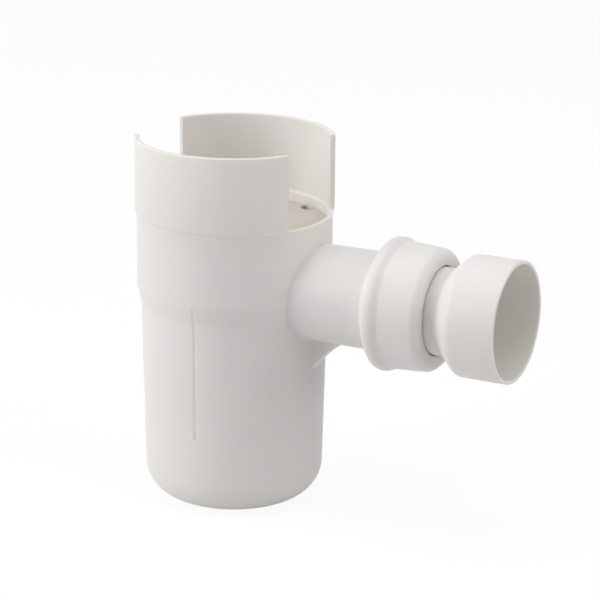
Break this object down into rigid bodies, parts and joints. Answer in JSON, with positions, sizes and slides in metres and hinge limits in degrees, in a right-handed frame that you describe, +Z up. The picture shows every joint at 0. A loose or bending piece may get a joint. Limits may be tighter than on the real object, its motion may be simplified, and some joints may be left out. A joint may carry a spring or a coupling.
{
  "type": "tundish trap",
  "caption": "White PVC tundish trap: an open cup with windows in its rim over a deep water-seal trap, a ring-seal side outlet and a push-in adaptor to a larger waste pipe.",
  "frame": {"origin": "centre of the cup's flat base", "axes": "+X along the outlet branch towards its mouth, +Y across it, +Z up towards the open rim"},
  "size_m": [0.2012, 0.0988, 0.1845],
  "materials": {
    "body_pvc": "satin",
    "insert_pvc": "satin",
    "seal_rubber": "matt",
    "adaptor_pvc": "satin"
  },
  "bodies": {
    "trap": {"trap_body": "body_pvc", "baffle_insert": "insert_pvc"},
    "seal": {"seal_ring": "seal_rubber"},
    "adaptor": {"outlet_adaptor": "adaptor_pvc"}
  },
  "joints": [
    {"name": "adaptor_turn", "type": "hinge", "parent": "trap", "child": "seal", "pos_m": [0.09, 0, 0.1113], "axis": [1, 0, 0], "continuous": true},
    {"name": "adaptor_draw", "type": "slide", "parent": "seal", "child": "adaptor", "axis": [1, 0, 0], "range_m": [-0.0035, 0.045]}
  ]
}
